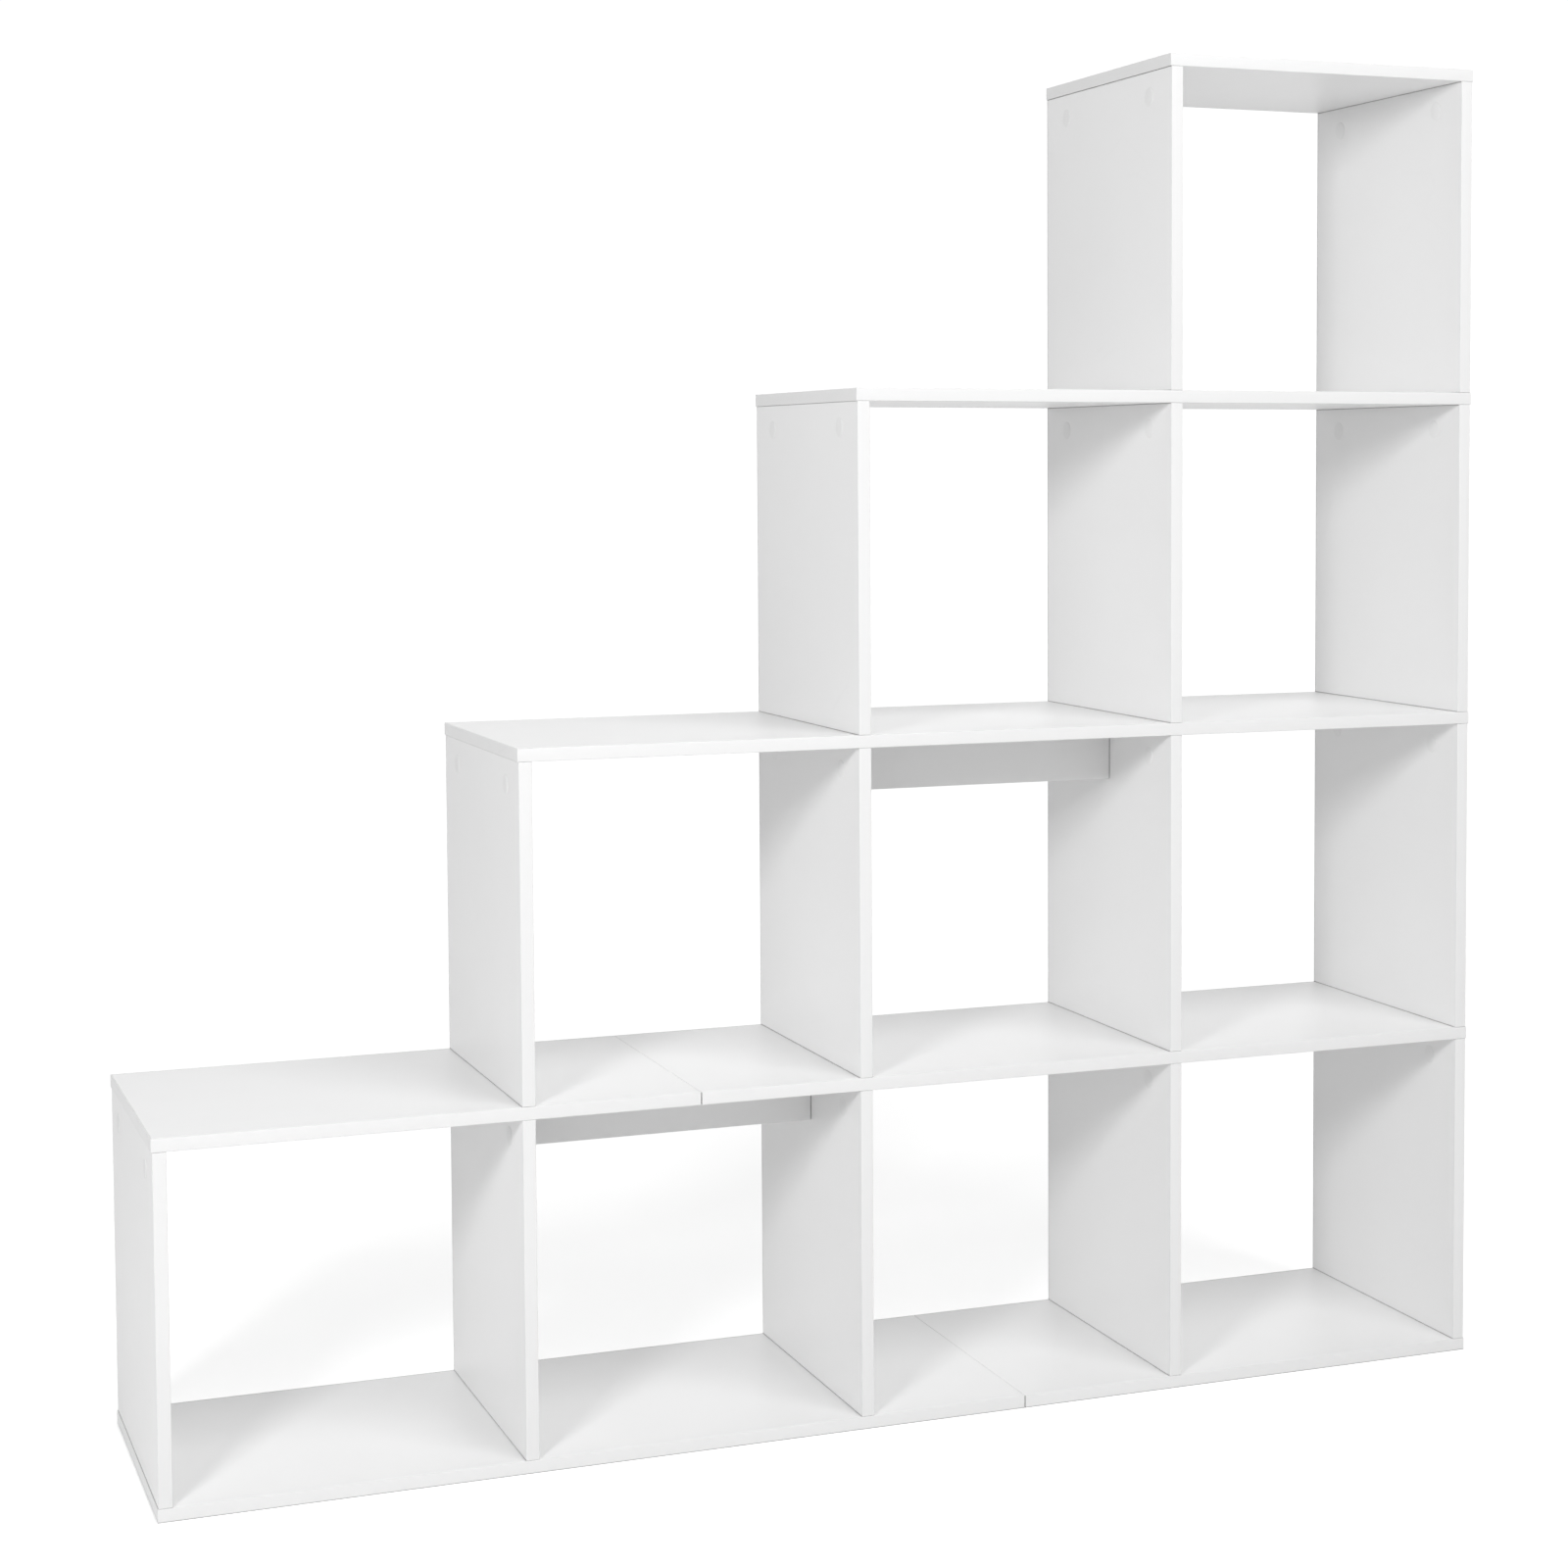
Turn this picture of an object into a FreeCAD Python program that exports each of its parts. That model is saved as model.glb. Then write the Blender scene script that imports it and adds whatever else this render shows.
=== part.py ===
import FreeCAD, Part

import math
import os

from FreeCAD import Vector

# Main sizes in millimetres: the unit is a staircase of cubes, tall at the right
opening_width = 308.0
opening_height = 308.0
unit_depth = 295.0
board_thickness = 12.0
upright_thickness = 12.0
column_count = 4
row_count = 4

# Boards stand out past the outer uprights by the thickness of their end band
board_overhang = 1.0

# Butt joints of the two longest levels: each level, and the column, counted from the left, that holds it
seam_columns = {0: 3, 1: 2}

# Plastic edge bands: strips with a small chamfer on both outer corners
band_thickness = 1.0
band_chamfer = 0.35

# Stiffening rails, upright strips under the boards: (row, column) of each
rail_thickness = 12.0
rail_height = 55.0
rail_setback = 140.0
rail_cubes = {"first_shelf_rail": (1, 2), "second_shelf_rail": (2, 3)}

# Line of the bolts, in from the front and the back, and of the dowel beside the front one
bolt_inset = 50.0
dowel_spacing = 32.0

# Cam lock and the blind pocket that it turns in, on the left face below the upright's top
cam_drop = 24.0
cam_pocket_radius = 7.5
cam_pocket_depth = 9.5
cam_fit = 0.1
cam_recess = 0.3
cam_sides = 10
driver_slot_length = 9.0
driver_slot_width = 1.6
driver_slot_depth = 2.0

# Round stick-on cover over each cam lock
cover_radius = 9.0
cover_thickness = 0.3
cover_sides = 12

# Cam bolt: head, neck and the threaded end that bites in the board or in the next upright
bolt_head_radius = 2.6
bolt_head_height = 2.6
bolt_neck_radius = 1.7
bolt_thread_radius = 2.5
bolt_bite_in_board = 9.0
bolt_bite_in_upright = 28.0
bolt_fit = 0.1
bolt_passage_radius = 3.2
bolt_sides = 6

# Countersunk screw that holds the bottom board to the lowest uprights from beneath
screw_head_radius = 4.0
screw_head_height = 2.5
screw_shank_radius = 2.0
screw_bite = 33.0
screw_sink = 0.5
screw_fit = 0.1
screw_sides = 6

# Wooden dowels: every hole is a little wider and deeper than its dowel
dowel_radius = 3.0
dowel_depth_in_upright = 16.0
dowel_depth_in_board = 8.0
dowel_depth_in_seam = 20.0
dowel_depth_in_rail = 20.0
dowel_depth_in_side = 8.0
dowel_fit = 0.1
dowel_end_gap = 0.2
dowel_sides = 6

# Places of the dowels, as shares of the piece that they sit in
seam_dowel_shares = (0.18, 0.5, 0.82)
rail_dowel_shares = (0.28, 0.72)

# Cuts run this far past the surface that they open
overrun = 1.0

column_pitch = opening_width + upright_thickness
row_pitch = opening_height + board_thickness
unit_width = column_count * column_pitch + upright_thickness + board_overhang + board_overhang
front = -unit_depth / 2
back = unit_depth / 2
bolt_places = (front + bolt_inset, back - bolt_inset)
dowel_place = front + bolt_inset + dowel_spacing
level_names = ("bottom_board", "first_shelf", "second_shelf", "third_shelf", "top_board")


def upright_left(line):
    """Left face of the uprights on a line, counted from 0 at the left end."""
    return -unit_width / 2 + board_overhang + line * column_pitch


def upright_middle(line):
    return upright_left(line) + upright_thickness / 2


def board_underside(level):
    """Underside of the boards of a level, counted from 0 at the floor."""
    return level * row_pitch


def upright_foot(row):
    """Lower end of the uprights in a row, counted from 1 at the floor."""
    return board_underside(row - 1) + board_thickness


def upright_top(row):
    return upright_foot(row) + opening_height


def has_upright(row, line):
    """Each row starts one line further right than the row below it."""
    return 1 <= row <= row_count and row - 1 <= line <= column_count


def upright_lines(row):
    return [line for line in range(column_count + 1) if has_upright(row, line)]


def joint_lines(level):
    """Lines where a board meets an upright, from below, from above or both."""
    return [line for line in range(column_count + 1)
            if has_upright(level, line) or has_upright(level + 1, line)]


def moved(shape, x, y, z):
    """A copy of a shape, carried to a new place."""
    copy = shape.copy()
    copy.translate(Vector(x, y, z))
    return copy


def block(x_range, y_range, z_range):
    """A rectangular block between three pairs of limits."""
    corner = Vector(x_range[0], y_range[0], z_range[0])
    return Part.makeBox(x_range[1] - x_range[0], y_range[1] - y_range[0], z_range[1] - z_range[0], corner)


def ring(radius, sides, height):
    """A regular polygon with its corners on a circle, lying flat at a height."""
    turn = 2 * math.pi / sides
    corners = [Vector(radius * math.cos(turn * (i + 0.5)), radius * math.sin(turn * (i + 0.5)), height)
               for i in range(sides)]
    return Part.makePolygon(corners + corners[:1])


def bar(radius, sides, start, end):
    """A many-sided bar on the Z axis between two heights."""
    return Part.Face(ring(radius, sides, start)).extrude(Vector(0, 0, end - start))


def taper(radius, end_radius, sides, start, end):
    """A many-sided cone on the Z axis that widens or narrows between two heights."""
    return Part.makeLoft([ring(radius, sides, start), ring(end_radius, sides, end)], True, True)


def turned_to_x(shape):
    """The shape with its Z axis laid along +X."""
    quarter_turn = 90
    copy = shape.copy()
    copy.rotate(Vector(0, 0, 0), Vector(0, 1, 0), quarter_turn)
    return copy


def cross_bar(radius, sides, x_start, x_end, y, z):
    """A many-sided bar that lies along X."""
    return moved(turned_to_x(bar(radius, sides, 0, x_end - x_start)), x_start, y, z)


def upright_bar(radius, sides, x, y, z_start, z_end):
    """A many-sided bar that stands along Z."""
    return moved(bar(radius, sides, z_start, z_end), x, y, 0)


def drilled(panel, tools):
    """A panel with all of its holes cut at once."""
    return panel.cut(Part.makeCompound(tools)) if tools else panel


def seam_place(level):
    """Where the two halves of a long level meet: the middle of the seam's column."""
    column = seam_columns[level]
    return (upright_left(column - 1) + upright_thickness + upright_left(column)) / 2


def board_spans(level):
    """Name, X range, and whether each end is an outer end, for every board of a level."""
    lines = joint_lines(level)
    left = upright_left(lines[0]) - board_overhang
    right = upright_left(lines[-1]) + upright_thickness + board_overhang
    name = level_names[level]
    if level not in seam_columns:
        return [(name, (left, right), (True, True))]
    seam = seam_place(level)
    return [(name + "_left", (left, seam), (True, False)), (name + "_right", (seam, right), (False, True))]


def joint_holes_in_board(level, line):
    """Holes for the two bolts or screws and the dowel where a board crosses an upright."""
    underside = board_underside(level)
    upper = underside + board_thickness
    x = upright_middle(line)
    below = has_upright(level, line)
    above = has_upright(level + 1, line)
    dowel_bottom = underside - overrun if below else upper - dowel_depth_in_board
    dowel_end = upper + overrun if above else underside + dowel_depth_in_board
    tools = [upright_bar(dowel_radius + dowel_fit, dowel_sides, x, dowel_place, dowel_bottom, dowel_end)]
    for y in bolt_places:
        if below:
            end = upper + overrun if above else underside + bolt_bite_in_board + bolt_fit
            tools.append(upright_bar(bolt_thread_radius + bolt_fit, bolt_sides, x, y, underside - overrun, end))
        else:
            shank = bar(screw_shank_radius + screw_fit, screw_sides, -overrun, board_thickness + overrun)
            sink_top = screw_sink + screw_head_height
            sink = bar(screw_head_radius + screw_fit, screw_sides, -overrun, screw_sink)
            cone = taper(screw_head_radius + screw_fit, screw_shank_radius + screw_fit, screw_sides,
                         screw_sink, sink_top)
            tools.append(moved(shank.fuse([sink, cone]), x, y, underside))
    return tools


def seam_holes(level, reach):
    """Dowel holes across the butt joint of a level; reach is -1 for the left half, 1 for the right."""
    seam = seam_place(level)
    ends = sorted((seam - reach * overrun, seam + reach * dowel_depth_in_seam))
    z = board_underside(level) + board_thickness / 2
    return [cross_bar(dowel_radius + dowel_fit, dowel_sides, ends[0], ends[1], front + share * unit_depth, z)
            for share in seam_dowel_shares]


def board(level, x_range, outer_ends):
    """One board: a flat panel without its bands, drilled for every upright that it meets."""
    left = x_range[0] + band_thickness if outer_ends[0] else x_range[0]
    right = x_range[1] - band_thickness if outer_ends[1] else x_range[1]
    z_range = (board_underside(level), board_underside(level) + board_thickness)
    panel = block((left, right), (front + band_thickness, back - band_thickness), z_range)
    tools = []
    for line in joint_lines(level):
        if left < upright_middle(line) < right:
            tools += joint_holes_in_board(level, line)
    if level in seam_columns:
        tools += seam_holes(level, -1 if outer_ends[0] else 1)
    return drilled(panel, tools)


def rail_places():
    """Rows, columns and dowel places of the rails, worked out from the openings that they cross."""
    places = []
    for name, (row, column) in rail_cubes.items():
        left = upright_left(column - 1) + upright_thickness
        right = upright_left(column)
        top = upright_top(row)
        heights = [top - share * rail_height for share in rail_dowel_shares]
        places.append((name, row, column, left, right, top, heights))
    return places


def rail_middle():
    return front + rail_setback + rail_thickness / 2


def rail(left, right, top, heights):
    """A strip on edge, tight under the board and between two uprights, drilled at both ends."""
    y_range = (front + rail_setback, front + rail_setback + rail_thickness)
    strip = block((left, right), y_range, (top - rail_height, top))
    tools = []
    for z in heights:
        for x_range in ((left - overrun, left + dowel_depth_in_rail), (right - dowel_depth_in_rail, right + overrun)):
            tools.append(cross_bar(dowel_radius + dowel_fit, dowel_sides, *x_range, rail_middle(), z))
    return drilled(strip, tools)


def rail_holes_in_upright(row, line):
    """Dowel holes where a rail ends on the right or the left face of an upright."""
    tools = []
    for name, rail_row, column, left, right, top, heights in rail_places():
        if rail_row != row or line not in (column - 1, column):
            continue
        at_left_end = line == column - 1
        x_range = (left - dowel_depth_in_side, left + overrun) if at_left_end else (
            right - overrun, right + dowel_depth_in_side)
        for z in heights:
            tools.append(cross_bar(dowel_radius + dowel_fit, dowel_sides, *x_range, rail_middle(), z))
    return tools


def upright(row, line):
    """One upright: cam pockets and bolt passages at its top, thread holes at its foot, dowel holes at both."""
    left = upright_left(line)
    x = upright_middle(line)
    foot = upright_foot(row)
    top = upright_top(row)
    panel = block((left, left + upright_thickness), (front + band_thickness, back - band_thickness), (foot, top))
    dowel_hole = dowel_radius + dowel_fit
    tools = [
        upright_bar(dowel_hole, dowel_sides, x, dowel_place, top - dowel_depth_in_upright, top + overrun),
        upright_bar(dowel_hole, dowel_sides, x, dowel_place, foot - overrun, foot + dowel_depth_in_upright),
    ]
    bite = screw_bite + screw_fit if row == 1 else bolt_bite_in_upright + bolt_fit
    thread_hole = screw_shank_radius + screw_fit if row == 1 else bolt_thread_radius + bolt_fit
    thread_sides = screw_sides if row == 1 else bolt_sides
    for y in bolt_places:
        tools.append(cross_bar(cam_pocket_radius, cam_sides, left - overrun, left + cam_pocket_depth,
                               y, top - cam_drop))
        tools.append(upright_bar(bolt_passage_radius, bolt_sides, x, y, top - cam_drop, top + overrun))
        tools.append(upright_bar(thread_hole, thread_sides, x, y, foot - overrun, foot + bite))
    return drilled(panel, tools + rail_holes_in_upright(row, line))


def cam_lock():
    """A cam about the X axis: its mouth is at 0, and the bolt comes into its middle from above.

    A narrow slot lets the bolt's neck pass over a quarter of a turn, and a wider chamber behind
    it takes the head, so the head is held when the cam is turned.
    """
    radius = cam_pocket_radius - cam_fit
    body = cross_bar(radius, cam_sides, cam_recess, cam_pocket_depth, 0, 0)
    neck = bolt_neck_radius + bolt_fit
    head = bolt_head_radius + bolt_fit
    height = bolt_head_height / 2 + bolt_fit
    middle = upright_thickness / 2
    rim = radius + overrun
    slot = block((middle - neck, middle + neck), (-rim, neck), (-neck, rim))
    chamber = block((middle - head, middle + head), (-rim, head), (-height, height))
    driver = block((0, cam_recess + driver_slot_depth), (-driver_slot_length / 2, driver_slot_length / 2),
                   (-driver_slot_width / 2, driver_slot_width / 2))
    return body.cut(Part.makeCompound([slot.fuse(chamber), driver]))


def cam_cover():
    """A thin round cover that lies on the upright's face, over the cam's mouth."""
    return cross_bar(cover_radius, cover_sides, -cover_thickness, 0, 0, 0)


def cam_bolt(bite):
    """A bolt with its head's middle at the origin and its threaded end pointing up."""
    half_head = bolt_head_height / 2
    head = bar(bolt_head_radius, bolt_sides, -half_head, half_head)
    neck = bar(bolt_neck_radius, bolt_sides, half_head, cam_drop)
    thread = bar(bolt_thread_radius, bolt_sides, cam_drop, cam_drop + bite)
    return head.fuse([neck, thread]).removeSplitter()


def foot_screw():
    """A countersunk screw that points up, with its head just inside the underside of the board."""
    shoulder = screw_sink + screw_head_height
    head = taper(screw_head_radius, screw_shank_radius, screw_sides, screw_sink, shoulder)
    shank = bar(screw_shank_radius, screw_sides, shoulder, board_thickness + screw_bite)
    return head.fuse(shank).removeSplitter()


def cam_places():
    """Mouth of every cam pocket: one in front and one behind on each upright's left face."""
    return [(upright_left(line), y, upright_top(row) - cam_drop)
            for row in range(1, row_count + 1) for line in upright_lines(row) for y in bolt_places]


def bolt_joints(stacked):
    """Level and line of the joints with an upright below, with or without one above."""
    return [(level, line) for level in range(1, row_count + 1) for line in joint_lines(level)
            if has_upright(level, line) and has_upright(level + 1, line) == stacked]


def cam_bolts(stacked):
    """Two bolts for each joint of a kind; stacked ones also bite in the upright above the board."""
    bite = board_thickness + bolt_bite_in_upright if stacked else bolt_bite_in_board
    bolt = cam_bolt(bite)
    return [moved(bolt, upright_middle(line), y, board_underside(level) - cam_drop)
            for level, line in bolt_joints(stacked) for y in bolt_places]


def foot_screws():
    screw = foot_screw()
    return [moved(screw, upright_middle(line), y, 0) for line in upright_lines(1) for y in bolt_places]


def end_dowels():
    """Short dowels where a board has an upright on one side only."""
    in_board = dowel_depth_in_board - dowel_end_gap
    in_upright = dowel_depth_in_upright - dowel_end_gap
    dowels = []
    for line in upright_lines(1):
        face = board_thickness
        dowels.append(upright_bar(dowel_radius, dowel_sides, upright_middle(line), dowel_place,
                                  face - in_board, face + in_upright))
    for level, line in bolt_joints(False):
        face = board_underside(level)
        dowels.append(upright_bar(dowel_radius, dowel_sides, upright_middle(line), dowel_place,
                                  face - in_upright, face + in_board))
    return dowels


def through_dowels():
    """Long dowels that run through a board from the upright below into the one above."""
    reach = dowel_depth_in_upright - dowel_end_gap
    return [upright_bar(dowel_radius, dowel_sides, upright_middle(line), dowel_place,
                        board_underside(level) - reach, board_underside(level) + board_thickness + reach)
            for level, line in bolt_joints(True)]


def seam_dowels():
    """Dowels across the butt joints of the two longest levels."""
    reach = dowel_depth_in_seam - dowel_end_gap
    return [cross_bar(dowel_radius, dowel_sides, seam_place(level) - reach, seam_place(level) + reach,
                      front + share * unit_depth, board_underside(level) + board_thickness / 2)
            for level in seam_columns for share in seam_dowel_shares]


def rail_dowels():
    """Two dowels at each end of each rail, half in the rail and half in the upright."""
    in_rail = dowel_depth_in_rail - dowel_end_gap
    in_side = dowel_depth_in_side - dowel_end_gap
    dowels = []
    for name, row, column, left, right, top, heights in rail_places():
        for z in heights:
            dowels.append(cross_bar(dowel_radius, dowel_sides, left - in_side, left + in_rail, rail_middle(), z))
            dowels.append(cross_bar(dowel_radius, dowel_sides, right - in_rail, right + in_side, rail_middle(), z))
    return dowels


def band_section(thickness):
    """Section of an edge band: flat on the panel's edge (y = 0), chamfered where it faces out (y < 0)."""
    half = thickness / 2
    points = [(-half, 0), (half, 0), (half, band_chamfer - band_thickness), (half - band_chamfer, -band_thickness),
              (band_chamfer - half, -band_thickness), (-half, band_chamfer - band_thickness)]
    return [Vector(x, y, 0) for x, y in points]


def band(thickness, length, angle):
    """A band that stands along Z, turned about Z so that its outer side faces the given way."""
    corners = band_section(thickness)
    strip = Part.Face(Part.makePolygon(corners + corners[:1])).extrude(Vector(0, 0, length))
    strip.rotate(Vector(0, 0, 0), Vector(0, 0, 1), angle)
    return strip


def upright_bands(outward):
    """Bands on the front (-1) or back (1) edges of the uprights, as tall as each upright."""
    half_turn = 180
    strip = band(upright_thickness, opening_height, 0 if outward < 0 else half_turn)
    edge = outward * (unit_depth / 2 - band_thickness)
    return [moved(strip, upright_middle(line), edge, upright_foot(row))
            for row in range(1, row_count + 1) for line in upright_lines(row)]


def board_bands(outward):
    """Bands along the front (-1) or back (1) edges of the boards, over the ends of the end bands."""
    half_turn = 180
    edge = outward * (unit_depth / 2 - band_thickness)
    strips = []
    for level in range(row_count + 1):
        middle = board_underside(level) + board_thickness / 2
        for name, (left, right), outer_ends in board_spans(level):
            strip = turned_to_x(band(board_thickness, right - left, 0 if outward < 0 else half_turn))
            strips.append(moved(strip, left, edge, middle))
    return strips


def end_bands():
    """Bands on the outer ends of the boards, between the front and back bands."""
    quarter_turn = 90
    length = unit_depth - band_thickness - band_thickness
    strips = []
    for level in range(row_count + 1):
        middle = board_underside(level) + board_thickness / 2
        for name, (left, right), outer_ends in board_spans(level):
            for is_outer, end, side in ((outer_ends[0], left + band_thickness, -1),
                                        (outer_ends[1], right - band_thickness, 1)):
                if not is_outer:
                    continue
                strip = band(board_thickness, length, 0)
                strip.rotate(Vector(0, 0, 0), Vector(1, 0, 0), -quarter_turn)
                strip.rotate(Vector(0, 0, 0), Vector(0, 1, 0), side * quarter_turn)
                strips.append(moved(strip, end, -length / 2, middle))
    return strips


def save(node, solids):
    """Writes one node, a single solid or a group of separate solids."""
    shape = solids[0] if len(solids) == 1 else Part.makeCompound(solids)
    shape.exportStep("parts/" + node + ".step")


os.makedirs("parts", exist_ok=True)

for level in range(row_count + 1):
    for name, x_range, outer_ends in board_spans(level):
        save(name, [board(level, x_range, outer_ends)])

for row in range(1, row_count + 1):
    for line in upright_lines(row):
        save("upright_row" + str(row) + "_line" + str(line + 1), [upright(row, line)])

for name, row, column, left, right, top, heights in rail_places():
    save(name, [rail(left, right, top, heights)])

save("upright_front_bands", upright_bands(-1))
save("upright_back_bands", upright_bands(1))
save("board_front_bands", board_bands(-1))
save("board_back_bands", board_bands(1))
save("board_end_bands", end_bands())

save("cam_locks", [moved(cam_lock(), *place) for place in cam_places()])
save("cam_covers", [moved(cam_cover(), *place) for place in cam_places()])
save("short_cam_bolts", cam_bolts(False))
save("long_cam_bolts", cam_bolts(True))
save("foot_screws", foot_screws())

save("end_dowels", end_dowels())
save("through_dowels", through_dowels())
save("seam_dowels", seam_dowels())
save("rail_dowels", rail_dowels())
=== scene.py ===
import math

import bmesh
import bpy
import numpy as np
from bpy.props import FloatProperty, FloatVectorProperty, IntProperty, PointerProperty
from mathutils import Matrix, Vector


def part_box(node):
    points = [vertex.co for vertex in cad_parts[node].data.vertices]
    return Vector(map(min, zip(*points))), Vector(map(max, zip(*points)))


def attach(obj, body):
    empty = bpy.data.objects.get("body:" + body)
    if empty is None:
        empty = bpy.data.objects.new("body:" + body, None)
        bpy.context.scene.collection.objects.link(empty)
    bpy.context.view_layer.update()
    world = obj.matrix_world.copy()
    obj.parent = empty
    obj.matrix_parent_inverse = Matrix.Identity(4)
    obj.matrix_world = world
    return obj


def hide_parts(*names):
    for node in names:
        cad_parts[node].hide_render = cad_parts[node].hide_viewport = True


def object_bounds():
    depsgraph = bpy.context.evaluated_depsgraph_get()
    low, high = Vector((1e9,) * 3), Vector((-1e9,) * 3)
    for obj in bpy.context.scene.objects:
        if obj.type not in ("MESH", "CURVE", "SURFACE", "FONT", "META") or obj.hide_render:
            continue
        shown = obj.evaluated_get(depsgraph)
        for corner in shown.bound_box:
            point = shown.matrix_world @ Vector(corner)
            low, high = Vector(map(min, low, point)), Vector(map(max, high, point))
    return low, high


bl_info = {
    "name": "Stepped cube bookshelf",
    "version": (1, 0, 0),
    "blender": (4, 5, 0),
    "location": "View3D > Sidebar > Bookshelf",
    "description": "Dresses the packed bookshelf with its melamine, edge bands and fittings",
    "category": "Object",
}

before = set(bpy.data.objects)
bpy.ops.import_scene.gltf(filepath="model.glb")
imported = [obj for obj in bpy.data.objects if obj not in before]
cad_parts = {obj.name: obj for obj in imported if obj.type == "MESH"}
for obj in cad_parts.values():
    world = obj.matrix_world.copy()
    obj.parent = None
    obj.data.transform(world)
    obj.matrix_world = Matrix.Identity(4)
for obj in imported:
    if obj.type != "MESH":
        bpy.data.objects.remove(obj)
cad_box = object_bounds()
BODY = "root"
MICRON = 1e-6
THREAD_STEPS = 6
PLAIN_WHITE = 1.05
GROUPS = {}

BOARDS = [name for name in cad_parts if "board" in name or "shelf" in name]
BOARDS = [name for name in BOARDS if not name.endswith(("_bands", "_rail"))]
UPRIGHTS = [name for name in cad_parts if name.startswith("upright_row")]
RAILS = [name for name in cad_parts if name.endswith("_rail")]
BANDS = [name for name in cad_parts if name.endswith("_bands")]
BOLTS = ["short_cam_bolts", "long_cam_bolts"]
DOWELS = ["end_dowels", "through_dowels", "seam_dowels", "rail_dowels"]


class ShelfSizes(bpy.types.PropertyGroup):
    """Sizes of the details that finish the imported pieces."""

    panel_arris: FloatProperty(
        name="Panel arris", description="Rounding of the cut edges of boards, uprights and rails",
        default=0.0007, unit="LENGTH", precision=5)
    seam_gap: FloatProperty(
        name="Seam gap", description="Open joint between the edge bands of a long level's two halves",
        default=0.0008, unit="LENGTH", precision=5)
    band_arris: FloatProperty(
        name="Band arris", description="Rounding of the outer corners of the edge bands",
        default=0.0007, unit="LENGTH", precision=5)
    cover_radius: FloatProperty(
        name="Cover radius", description="Radius of the round covers over the cam locks",
        default=0.009, unit="LENGTH", precision=5)
    cam_radius: FloatProperty(
        name="Cam radius", description="Radius of the cam locks",
        default=0.0073, unit="LENGTH", precision=5)
    cam_drop: FloatProperty(
        name="Cam drop", description="From the middle of a cam lock up to the end of its upright",
        default=0.024, unit="LENGTH", precision=5)
    bolt_radius: FloatProperty(
        name="Bolt radius", description="Radius of the cam bolts' heads and threads",
        default=0.0025, unit="LENGTH", precision=5)
    bolt_neck_radius: FloatProperty(
        name="Bolt neck radius", description="Radius of the plain neck between head and thread",
        default=0.0017, unit="LENGTH", precision=5)
    bolt_head_height: FloatProperty(
        name="Bolt head height", description="Height of the head that the cam holds",
        default=0.0026, unit="LENGTH", precision=5)
    screw_head_radius: FloatProperty(
        name="Screw head radius", description="Radius of the countersunk heads under the bottom board",
        default=0.004, unit="LENGTH", precision=5)
    screw_head_height: FloatProperty(
        name="Screw head height", description="Height of the countersunk cone",
        default=0.0025, unit="LENGTH", precision=5)
    screw_radius: FloatProperty(
        name="Screw radius", description="Outer radius of the foot screws' threads",
        default=0.002, unit="LENGTH", precision=5)
    thread_pitch: FloatProperty(
        name="Thread pitch", description="Rise of the thread in one turn",
        default=0.0018, unit="LENGTH", precision=5)
    thread_depth: FloatProperty(
        name="Thread depth", description="Depth of the thread's groove",
        default=0.0005, unit="LENGTH", precision=5)
    dowel_radius: FloatProperty(
        name="Dowel radius", description="Outer radius of the fluted dowels",
        default=0.003, unit="LENGTH", precision=5)
    dowel_flutes: IntProperty(
        name="Dowel flutes", description="Number of glue grooves along a dowel", default=16)


class ShelfFinish(bpy.types.PropertyGroup):
    """Colours of the finishes, as linear values."""

    panel_colour: FloatVectorProperty(
        name="Melamine", description="White of the boards and uprights",
        default=(0.91, 0.91, 0.91), subtype="COLOR")
    # The rails' white is set darker than the panels' to paint the shade that falls on them under the boards:
    # painted shade.
    rail_colour_with_painted_shade: FloatVectorProperty(
        name="Rail melamine", description="Greyer white of the rails under the boards",
        default=(0.82, 0.82, 0.82), subtype="COLOR")
    # The bands' white is set darker than the panels' to offset the stronger lamp light on the front faces:
    # painted shade.
    band_colour_with_painted_shade: FloatVectorProperty(
        name="Edge band", description="White of the plastic edge bands",
        default=(0.81, 0.81, 0.81), subtype="COLOR")
    cover_colour: FloatVectorProperty(
        name="Cam covers", description="White of the stick-on covers",
        default=(0.88, 0.88, 0.88), subtype="COLOR")
    cam_colour: FloatVectorProperty(
        name="Cam metal", description="Grey of the cast zinc cams",
        default=(0.42, 0.42, 0.43), subtype="COLOR")
    bolt_colour: FloatVectorProperty(
        name="Bolt steel", description="Plated steel of the bolts and screws",
        default=(0.55, 0.54, 0.50), subtype="COLOR")
    dowel_colour: FloatVectorProperty(
        name="Dowel wood", description="Pale beech of the dowels",
        default=(0.60, 0.42, 0.24), subtype="COLOR")


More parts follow.
